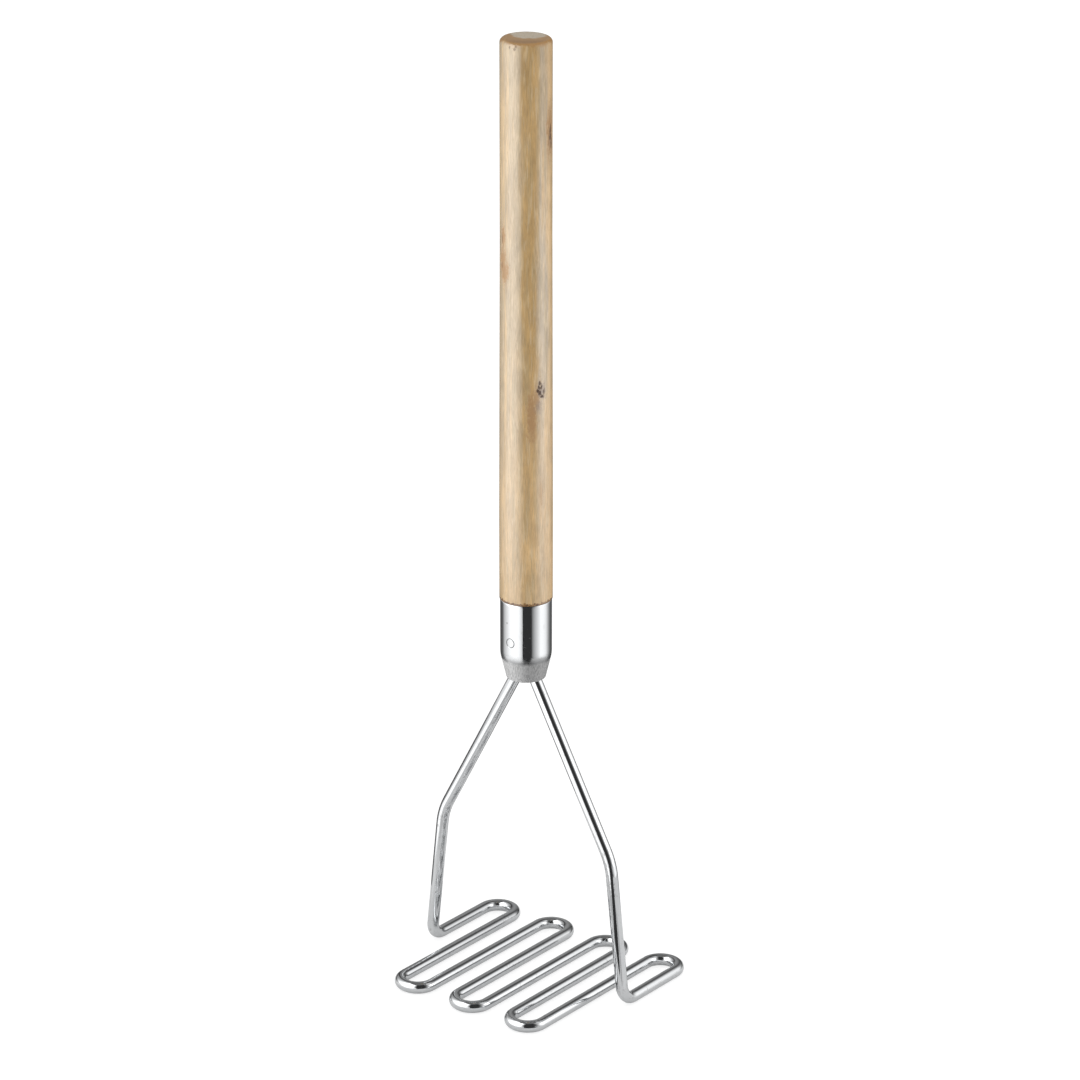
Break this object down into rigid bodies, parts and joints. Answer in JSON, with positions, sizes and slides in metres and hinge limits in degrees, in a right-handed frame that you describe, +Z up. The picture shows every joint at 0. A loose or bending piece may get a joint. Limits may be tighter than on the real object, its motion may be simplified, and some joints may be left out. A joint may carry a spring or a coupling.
{
  "type": "potato masher",
  "caption": "Long-handled potato masher: turned wooden handle, tapered chromed ferrule, and a continuous bent wire that forms the legs and a flat winding head.",
  "frame": {"origin": "on the surface that the head rests on, below the handle's axis, at the middle of the head's footprint", "axes": "+Z up along the handle's axis, +X across the legs, +Y along the straight runs of the head, towards the turns that the two half runs lead to"},
  "size_m": [0.1608, 0.1384, 0.609],
  "materials": {
    "handle_wood": "turned and sanded hardwood with a thin satin sealer, pale at the sides with a warm brown streak",
    "ferrule_chrome": "bright chrome on the tube, dull brushed metal on the tapered nose",
    "rivet_metal": "dressed flush and polished with the tube",
    "wire_chrome": "bright chrome plate on drawn wire, slightly mottled at the bends"
  },
  "bodies": {
    "root": {"handle": "handle_wood", "ferrule": "ferrule_chrome", "cross_rivet": "rivet_metal", "mashing_wire": "wire_chrome"}
  },
  "joints": []
}
